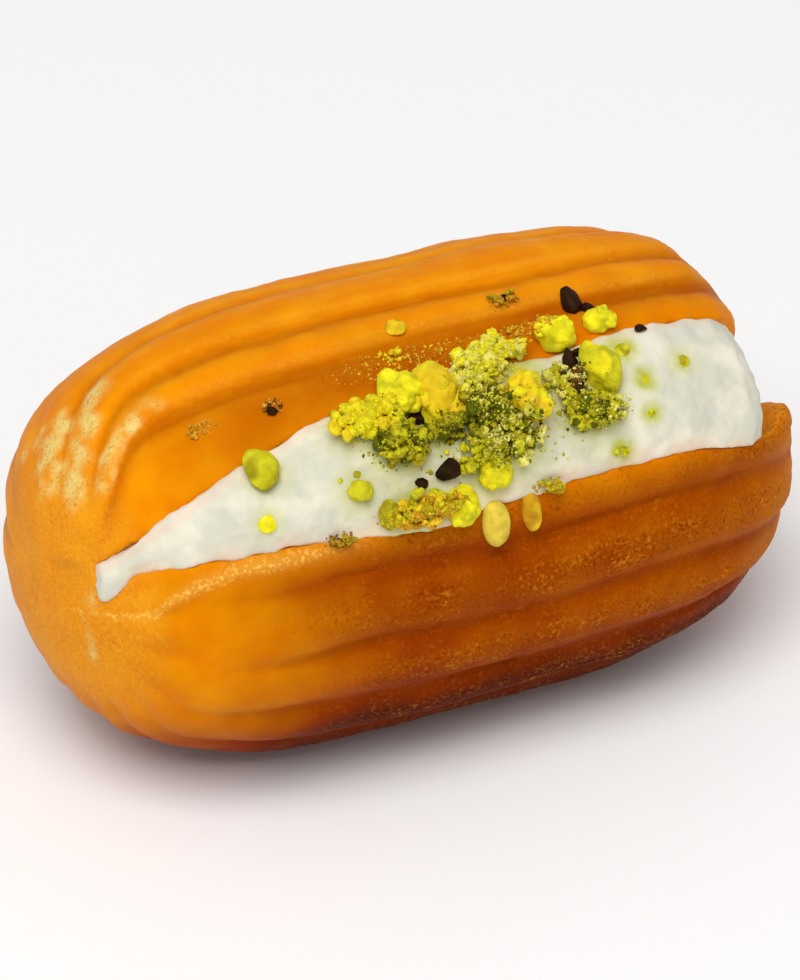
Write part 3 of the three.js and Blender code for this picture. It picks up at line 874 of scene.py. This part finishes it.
# Where crumbs lie, the lowest first: distance along, angle round, how far they spread each
# way, how many, their sizes and colours
CRUMB_HEAPS = [
    # The lowest heaps are dark green, partly the nut's own colour and partly painted shade deep in the pile
    # under the paler crumbs
    (0.8, 48.0, 1.8, 5.4, 120, (0.6, 1.4), (DARK_GREEN, DARK_GREEN, OLIVE)),
    (-3.1, 46.4, 1.4, 2.6, 46, (0.6, 1.3), (DARK_GREEN, OLIVE)),
    (10.6, 43.0, 1.9, 3.6, 80, (0.5, 1.4), (OLIVE, DARK_GREEN, LIME)),
    (-7.2, 46.0, 2.1, 4.0, 100, (0.6, 1.6), (OLIVE, LIME, DARK_GREEN)),
    (-6.6, 31.0, 3.0, 1.9, 90, (0.5, 1.4), (OLIVE, LIME, GOLD, AMBER)),
    (2.4, 42.0, 2.6, 5.0, 140, (0.5, 1.4), (OLIVE, LIME, DARK_GREEN, PALE_YELLOW)),
    (-0.8, 39.8, 1.5, 3.0, 50, (0.4, 1.1), (LIME, OLIVE, LIME)),
    (-9.4, 53.2, 2.4, 3.3, 120, (0.6, 1.8), (YELLOW, LIME, YELLOW, GOLD)),
    (10.3, 51.5, 0.9, 4.0, 36, (0.4, 1.1), (BROWN, PALE_YELLOW, SKIN)),
    (8.5, 50.0, 1.1, 4.4, 50, (0.4, 1.2), (PALE_YELLOW, LIME, OLIVE)),
    (2.2, 59.0, 2.6, 3.4, 120, (0.5, 1.5), (PALE_YELLOW, YELLOW, LIME)),
    (4.6, 63.0, 2.2, 2.4, 70, (0.5, 1.4), (YELLOW, PALE_YELLOW, YELLOW)),
    (1.0, 53.0, 1.6, 4.6, 90, (0.5, 1.2), (PALE_YELLOW, PALE_YELLOW, YELLOW, LIME)),
    (12.6, 42.5, 1.6, 3.0, 40, (0.4, 1.0), (LIME, PALE_YELLOW, OLIVE)),
    (-7.2, 29.2, 1.9, 1.2, 40, (0.3, 1.0), (AMBER, GOLD, SANDY)),
    (8.0, 79.0, 1.3, 1.6, 30, (0.3, 0.8), (AMBER, SANDY, OLIVE)),
    (8.2, 68.5, 2.4, 3.4, 40, (0.25, 0.6), (SANDY, AMBER, GOLD)),
    (-2.0, 68.5, 6.0, 4.6, 60, (0.2, 0.5), (SANDY, GOLD, AMBER)),
    (-4.2, 70.0, 0.8, 3.0, 14, (0.3, 0.8), (GOLD, YELLOW)),
    (-13.9, 28.0, 1.0, 1.2, 22, (0.3, 0.8), (AMBER, OLIVE, BROWN)),
    (5.7, 29.0, 1.0, 1.4, 30, (0.3, 0.9), (OLIVE, LIME, AMBER)),
    (13.0, 32.5, 0.5, 0.9, 10, (0.3, 0.8), (LIME, OLIVE)),
    (-22.4, 65, 1.1, 2.0, 22, (0.2, 0.5), (SANDY, AMBER)),
    (-16.1, 64.5, 0.9, 1.8, 18, (0.2, 0.5), (SANDY, BROWN)),
    (2.0, 46.0, 9.0, 9.0, 50, (0.2, 0.5), (LIME, OLIVE, YELLOW)),
]
GRAINS_PER_CRUMB = 3
GRAIN_SIZES = (0.14, 0.4)
SPREAD = {"crumbs": 0.8, "grains": 1}  # how far they scatter, against what their heap gives


def scatter_nuts(dough, cream):
    """The chopped pistachio: chunks, skins, heaped crumbs, and grains that dust them all."""
    chunks, skins = Nuts("pistachio_chunks", 4), Nuts("pistachio_skins", 3)
    crumbs, grains = Nuts("pistachio_crumbs", 2), Nuts("pistachio_grains", 1)
    pile = Pile(tree_of(dough, cream))
    for x, angle, size, colours, shape in SMOOTH_CHUNKS:
        place, normal = surface_at(pile.tree, x, angle)
        middle = place + normal * size * (0.3 * shape[2] - 0.08)
        chunks.add(middle, normal, size, colours, shape, facets=0, turn=0, rough=0.07)
    for x, angle, size, colours, shape, knobs in CHUNKS:
        place, normal = surface_at(pile.tree, x, angle)
        chunks.add_lumpy(place + normal * size * RAISED, normal, size, colours, shape, knobs)
    made_chunks = chunks.piece()
    pile.tree = tree_of(dough, cream, made_chunks)
    for x, angle, size, shape in SKINS:
        place, normal = surface_at(pile.tree, x, angle)
        skins.add(place + normal * size * RAISED, normal, size, (SKIN, DARK_SKIN), shape, turn=0)
    for heap in CRUMB_HEAPS:
        count, sizes = heap[4:6]
        for x, angle, size, colours in crumbs_of(heap, count, sizes, SPREAD["crumbs"]):
            place, normal = pile.rest(x, angle, size)
            crumbs.add(place, normal, size, colours, rng.uniform(0.6, 1.15, 3), facets=3, rough=0.36)
    made_crumbs = crumbs.piece()
    top = tree_of(dough, cream, made_chunks, made_crumbs)
    for heap in CRUMB_HEAPS:
        count = GRAINS_PER_CRUMB * heap[4]
        for x, angle, size, colours in crumbs_of(heap, count, GRAIN_SIZES, SPREAD["grains"]):
            place, normal = surface_at(top, x, angle)
            grains.add(place, normal, size, colours, rng.uniform(0.5, 1.2, 3), facets=0)
    return [made_chunks, skins.piece(), made_crumbs, grains.piece()]


def crumbs_of(heap, count, sizes, spread):
    """Draws so many crumbs of a heap, most of them small and near its middle."""
    x, angle, along, across, _, _, colours = heap
    for _ in range(count):
        size = sizes[0] + (sizes[1] - sizes[0]) * rng.random() ** 2
        drawn = [colours[i] for i in rng.integers(len(colours), size=2)]
        way, off = rng.uniform(0, math.tau), spread * rng.random() ** 0.6 * rng.uniform(1.1, 1.6)
        yield x + along * off * math.cos(way), angle + across * off * math.sin(way), size, drawn


# Finishes

class Link:
    """The value of a shader's socket. Sums and products of it add the Math nodes they need."""

    def __init__(self, finish, socket):
        self.finish = finish
        self.socket = socket

    def math(self, operation, *values):
        return self.finish.node("Math", {"operation": operation}, dict(enumerate(values)))

    def __add__(self, other):
        return self.math("ADD", self, other)

    def __sub__(self, other):
        return self.math("SUBTRACT", self, other)

    def __mul__(self, other):
        return self.math("MULTIPLY", self, other)

    __radd__ = __add__
    __rmul__ = __mul__

    def between(self, low, high, to_low=0.0, to_high=1.0):
        """0 below low and 1 above high, or the other way round where low is the larger."""
        sockets = {"Value": self, "From Min": low, "From Max": high, "To Min": to_low, "To Max": to_high}
        return self.finish.node("MapRange", {"interpolation_type": "SMOOTHSTEP"}, sockets)


class Finish:
    """A material, with one method that adds each of its nodes."""

    def __init__(self, name):
        self.material = bpy.data.materials.new(name)
        self.material.use_nodes = True
        self.tree = self.material.node_tree
        self.tree.nodes.clear()
        self.place = self.node("TexCoord", output="Object")

    def node(self, kind, settings=None, sockets=None, output=0):
        made = self.tree.nodes.new("ShaderNode" + kind)
        for name, value in (settings or {}).items():
            setattr(made, name, value)
        for name, value in (sockets or {}).items():
            if isinstance(value, Link):
                self.tree.links.new(value.socket, made.inputs[name])
            else:
                made.inputs[name].default_value = value
        return Link(self, made.outputs[output])

    def attribute(self, name):
        return self.node("Attribute", {"attribute_name": name}, output="Fac")

    def grain(self, size, detail, roughness=0.5):
        """Noise from 0 to 1 in spots of about that size, in metres."""
        sockets = {"Vector": self.place, "Scale": 1 / size, "Detail": detail, "Roughness": roughness}
        return self.node("TexNoise", {}, sockets, output="Fac")

    def mix(self, share, first, second, blend="MIX"):
        """A colour between two, or one over the other."""
        settings = {"data_type": "RGBA", "blend_type": blend}
        return self.node("Mix", settings, {0: share, 6: first, 7: second}, output=2)

    def surface(self, **sockets):
        names = {name.replace("_", " ").title(): value for name, value in sockets.items()}
        names = {name.replace("Ior", "IOR"): value for name, value in names.items()}
        shader = self.node("BsdfPrincipled", {}, names)
        end = self.tree.nodes.new("ShaderNodeOutputMaterial")
        self.tree.links.new(shader.socket, end.inputs["Surface"])
        return self.material


GOLDEN = srgb(232, 129, 0)
LIGHT_GOLDEN = srgb(246, 157, 6)
# Fried colour with painted shade, and the darkest painted shade underneath
FRIED_AND_SHADE_BROWN = srgb(140, 48, 0)
DEEPEST_SHADE_BROWN = srgb(84, 20, 0)
# Painted shade in the grooves
GROOVE_SHADE_BROWN = srgb(150, 54, 0)
INNER_GOLD = srgb(238, 156, 40)
# Painted highlight
PAINTED_HIGHLIGHT_GOLD = srgb(252, 190, 62)
PALE_GRAIN = srgb(222, 148, 36)
DARK_GRAIN = srgb(104, 36, 0)
# Pale grains with a painted highlight on the lower lip's rim
RIM_GRAIN_AND_HIGHLIGHT = srgb(250, 202, 94)
# A painted highlight, pale, with darker specks
PAINTED_HIGHLIGHT_PALE = srgb(238, 214, 122)
HIGHLIGHT_SPECK = srgb(196, 124, 12)
CREAM_SHADE = srgb(214, 212, 194)
CREAM_LIGHT = srgb(234, 229, 210)
SYRUPY_CREAM = srgb(240, 204, 172)
STAINED_CREAM = srgb(190, 192, 58)
NUT_SHADE = srgb(214, 206, 140)


def dough_finish():
    finish = Finish("fried_dough")
    groove, cut, fried_and_shade, streak = (finish.attribute(name) for name in ("groove", "cut", "fried_and_shade", "streak"))
    sandy, rim, coat_and_painted_highlight, painted_light = (finish.attribute(name) for name in ("sandy", "rim", "coat_and_painted_highlight", "painted_light"))
    mottle = finish.grain(0.004, 3).between(0.35, 0.7)
    grit = finish.grain(0.00036, 2)
    patchy = finish.grain(0.0022, 3).between(0.42, 0.6)
    colour = finish.mix(mottle * 0.5 + streak * 0.5, GOLDEN, LIGHT_GOLDEN)
    # Fried colour with painted shade: darker low down, underneath and above the slit
    colour = finish.mix(fried_and_shade, colour, FRIED_AND_SHADE_BROWN)
    colour = finish.mix(fried_and_shade.between(0.9, 1.4), colour, DEEPEST_SHADE_BROWN)
    # Painted shade darkens the grooves
    colour = finish.mix(groove.between(0.05, 0.9) * 0.5, colour, GROOVE_SHADE_BROWN)
    colour = finish.mix(cut * 0.4, colour, INNER_GOLD)
    pale = grit.between(0.5, 0.64)
    dark = finish.grain(0.00034, 1).between(0.42, 0.34)
    # Painted highlights on the ridges' upper flanks and the fold's edge, and painted light at the far left
    colour = finish.mix(painted_light * (0.45 + 0.55 * pale) * 0.4, colour, PAINTED_HIGHLIGHT_GOLD)
    colour = finish.mix(sandy * (0.35 + 0.65 * patchy) * pale * 0.38, colour, PALE_GRAIN)
    colour = finish.mix(sandy * dark * 0.5, colour, DARK_GRAIN)
    # Pale grains with a painted highlight along the lower lip's rim
    colour = finish.mix(rim * (0.3 + 0.7 * pale) * 0.9, colour, RIM_GRAIN_AND_HIGHLIGHT)
    # A painted highlight in pale streaks with darker specks, and a glossy coat on the same streaks
    highlighted = coat_and_painted_highlight.between(0.1, 1.0) * finish.grain(0.0013, 3).between(0.22, 0.5)
    colour = finish.mix(highlighted * (0.75 + 0.25 * pale), colour, PAINTED_HIGHLIGHT_PALE)
    colour = finish.mix(coat_and_painted_highlight.between(0.0, 0.5) * dark * 0.4, colour, HIGHLIGHT_SPECK)
    fine = finish.grain(0.0011, 3, 0.6)
    uneven = fine * 0.5 + (pale - dark) * (sandy * 0.3 + coat_and_painted_highlight * 0.3)
    normal = finish.node("Bump", {}, {"Strength": 0.4, "Distance": 0.0003, "Height": uneven})
    return finish.surface(
        base_color=colour,
        roughness=sandy.between(0.0, 1.0, 0.48, 0.65),
        specular_ior_level=0.05,
        specular_tint=srgb(255, 200, 90),
        subsurface_weight=0.12,
        subsurface_radius=(1.0, 0.3, 0.05),
        subsurface_scale=0.0015,
        coat_weight=coat_and_painted_highlight.between(0.3, 1.0, 0.0, 0.35),
        coat_roughness=0.2,
        normal=normal,
    )


def cream_finish():
    finish = Finish("whipped_cream")
    mottle = finish.grain(0.0035, 3).between(0.38, 0.66)
    colour = finish.mix(mottle, CREAM_SHADE, CREAM_LIGHT)
    colour = finish.mix(finish.attribute("edge") * 0.55, colour, SYRUPY_CREAM)
    blotchy = finish.grain(0.0012, 3).between(0.3, 0.6, 0.65, 1.0)
    colour = finish.mix(finish.attribute("stain") * blotchy * 0.9, colour, STAINED_CREAM)
    pores = finish.grain(0.0005, 3, 0.6)
    normal = finish.node("Bump", {}, {"Strength": 0.3, "Distance": 0.00025, "Height": pores})
    return finish.surface(
        base_color=colour,
        roughness=0.7,
        specular_ior_level=0.2,
        subsurface_weight=0.4,
        subsurface_radius=(1.0, 0.9, 0.75),
        subsurface_scale=0.0004,
        normal=normal,
    )


def nut_finish():
    finish = Finish("pistachio")
    tint = finish.node("Attribute", {"attribute_name": "tint"}, output="Color")
    mottle = finish.grain(0.0006, 3).between(0.35, 0.7)
    colour = finish.mix(mottle * 0.5, tint, NUT_SHADE, "MULTIPLY")
    rough = finish.grain(0.0004, 3, 0.6)
    normal = finish.node("Bump", {}, {"Strength": 0.5, "Distance": 0.0002, "Height": rough})
    return finish.surface(
        base_color=colour,
        roughness=0.6,
        specular_ior_level=0.2,
        specular_tint=srgb(255, 240, 140),
        subsurface_weight=0.15,
        subsurface_radius=(1.0, 0.8, 0.2),
        subsurface_scale=0.0006,
        normal=normal,
    )


# The stage

def plain_floor():
    bm = bmesh.new()
    bmesh.ops.create_grid(bm, x_segments=1, y_segments=1, size=3)
    floor = object_from(bm, "floor")
    finish = Finish("pale_floor")
    floor.data.materials.append(finish.surface(base_color=(0.97, 0.97, 0.97, 1), roughness=0.9))


def soft_light(name, azimuth, elevation, distance, size, power):
    """A square softbox that looks at the middle of the stick."""
    light = bpy.data.lights.new(name, "AREA")
    light.size = size
    light.energy = power
    lamp = bpy.data.objects.new(name, light)
    way = way_to(azimuth, elevation)
    lamp.location = Vector((0, 0, AXIS_HEIGHT * MM)) + way * distance
    lamp.rotation_euler = (-way).to_track_quat("-Z", "Y").to_euler()
    bpy.context.scene.collection.objects.link(lamp)


def way_to(azimuth, elevation):
    """The direction towards something at that azimuth, where 0 is in front and 90 to the right."""
    turn, tilt = math.radians(azimuth), math.radians(elevation)
    flat = math.cos(tilt)
    return Vector((math.sin(turn) * flat, -math.cos(turn) * flat, math.sin(tilt)))


def white_room(strength):
    world = bpy.data.worlds.new("white_room")
    world.use_nodes = True
    background = world.node_tree.nodes["Background"]
    background.inputs["Color"].default_value = (1, 1, 1, 1)
    background.inputs["Strength"].default_value = strength
    bpy.context.scene.world = world


CAMERA = {
    "azimuth": -24, "elevation": 34, "distance": 0.5, "off_middle": (-0.18, -0.135),
    "lens": 204.24, "sensor": 36,
}


def camera_as_in_photo():
    """Looks down at the front from the left, from far enough that the stick hardly tapers."""
    back = way_to(CAMERA["azimuth"], CAMERA["elevation"])
    right = Vector((0, 0, 1)).cross(back).normalized()
    off_right, off_up = (distance * MM for distance in CAMERA["off_middle"])
    aim = Vector((0, 0, AXIS_HEIGHT * MM)) + right * off_right + back.cross(right) * off_up
    camera = bpy.data.objects.new("camera", bpy.data.cameras.new("camera"))
    camera.data.lens = CAMERA["lens"]
    camera.data.sensor_width = CAMERA["sensor"]
    camera.location = aim + back * CAMERA["distance"]
    camera.rotation_euler = (-back).to_track_quat("-Z", "Y").to_euler()
    bpy.context.scene.collection.objects.link(camera)
    bpy.context.scene.camera = camera


camera_as_in_photo()
plain_floor()
white_room(strength=0.42)
soft_light("key", azimuth=-32, elevation=60, distance=1.3, size=0.85, power=13.2)
bpy.context.scene.view_settings.view_transform = "Standard"

dough, cream = make_dough(), make_cream()
nuts = scatter_nuts(dough, cream)
finished(dough, ["pastry"], dough_finish())
finished(cream, ["cream"], cream_finish())
nut_look = nut_finish()
for kind in nuts:
    finished(kind, [], nut_look)
